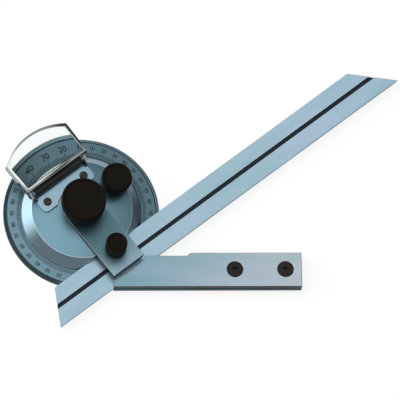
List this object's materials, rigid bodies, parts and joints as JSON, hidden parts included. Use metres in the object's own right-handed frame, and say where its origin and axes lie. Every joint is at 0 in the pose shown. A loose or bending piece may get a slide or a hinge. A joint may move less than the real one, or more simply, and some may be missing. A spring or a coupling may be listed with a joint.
{
  "type": "bevel protractor",
  "caption": "Bevel protractor with a graduated dial, stock, sliding blade on a swivelling turret, geared fine adjustment, clamp knobs and a tilting magnifier.",
  "frame": {"origin": "on the turret's axis, on the flat back face of the dial", "axes": "+Z along the turret's axis out of the dial; +X along the stock, away from the dial; the blade lies 37 degrees anticlockwise from +X at rest"},
  "size_m": [0.1852, 0.1237, 0.0233],
  "materials": {
    "satin_steel": "fine satin, cool grey",
    "scale_steel": "matt satin under the graduations",
    "blade_steel": "ground, brushed along the blade",
    "bright_steel": "turned and ground",
    "chrome_frame": "polished",
    "brass": "turned",
    "black_screw": "blackened",
    "knob_plastic": "moulded, nearly black",
    "dark_plastic": "smooth, dark",
    "lens_glass": "clear, polished"
  },
  "bodies": {
    "base": {"dial_body": "satin_steel", "scale_ring": "scale_steel", "stock_spacer": "satin_steel", "stock_front": "satin_steel", "stock_screw_1": "black_screw", "stock_screw_2": "black_screw", "spindle": "bright_steel", "fixed_gear": "bright_steel"},
    "turret": {"turret_hub": "satin_steel", "vernier_plate": "scale_steel", "blade_arm": "satin_steel", "arm_screw_1": "black_screw", "arm_screw_2": "black_screw", "clamp_washer": "bright_steel", "pinion_bush": "brass", "clamp_shoe": "bright_steel", "magnifier_bracket": "satin_steel", "bracket_screw_1": "black_screw", "bracket_screw_2": "black_screw", "hinge_pin": "bright_steel", "hinge_sleeve": "dark_plastic"},
    "blade": {"blade": "blade_steel"},
    "clamp": {"clamp_knob": "knob_plastic", "clamp_insert": "brass"},
    "fine_adjust": {"fine_knob": "knob_plastic", "pinion_shaft": "bright_steel"},
    "blade_lock": {"lock_knob": "knob_plastic", "lock_screw": "bright_steel"},
    "magnifier": {"lens_frame": "chrome_frame", "lens": "lens_glass"}
  },
  "joints": [
    {"name": "turret_swing", "type": "hinge", "parent": "base", "child": "turret", "pos_m": [0, 0, 0], "axis": [0, 0, 1], "range_deg": [-20, 80]},
    {"name": "blade_slide", "type": "slide", "parent": "turret", "child": "blade", "axis": [0.7986, 0.6018, 0], "range_m": [-0.13, 0.024]},
    {"name": "fine_turn", "type": "hinge", "parent": "turret", "child": "fine_adjust", "pos_m": [0.01598, 0.01323, 0], "axis": [0, 0, 1], "range_deg": [-119, 474]},
    {"name": "clamp_turn", "type": "hinge", "parent": "base", "child": "clamp", "pos_m": [0, 0, 0], "axis": [0, 0, 1], "range_deg": [0, 180]},
    {"name": "lock_turn", "type": "hinge", "parent": "turret", "child": "blade_lock", "pos_m": [0.01499, -0.01989, 0], "axis": [0, 0, 1], "range_deg": [0, 180]},
    {"name": "lens_tilt", "type": "hinge", "parent": "turret", "child": "magnifier", "pos_m": [-0.01119, 0.01485, 0.0114], "axis": [0.7986, 0.6018, 0], "range_deg": [-10, 90]}
  ],
  "couplings": [
    {"joint": "fine_turn", "follows": "turret_swing", "ratio": 5.9167}
  ]
}
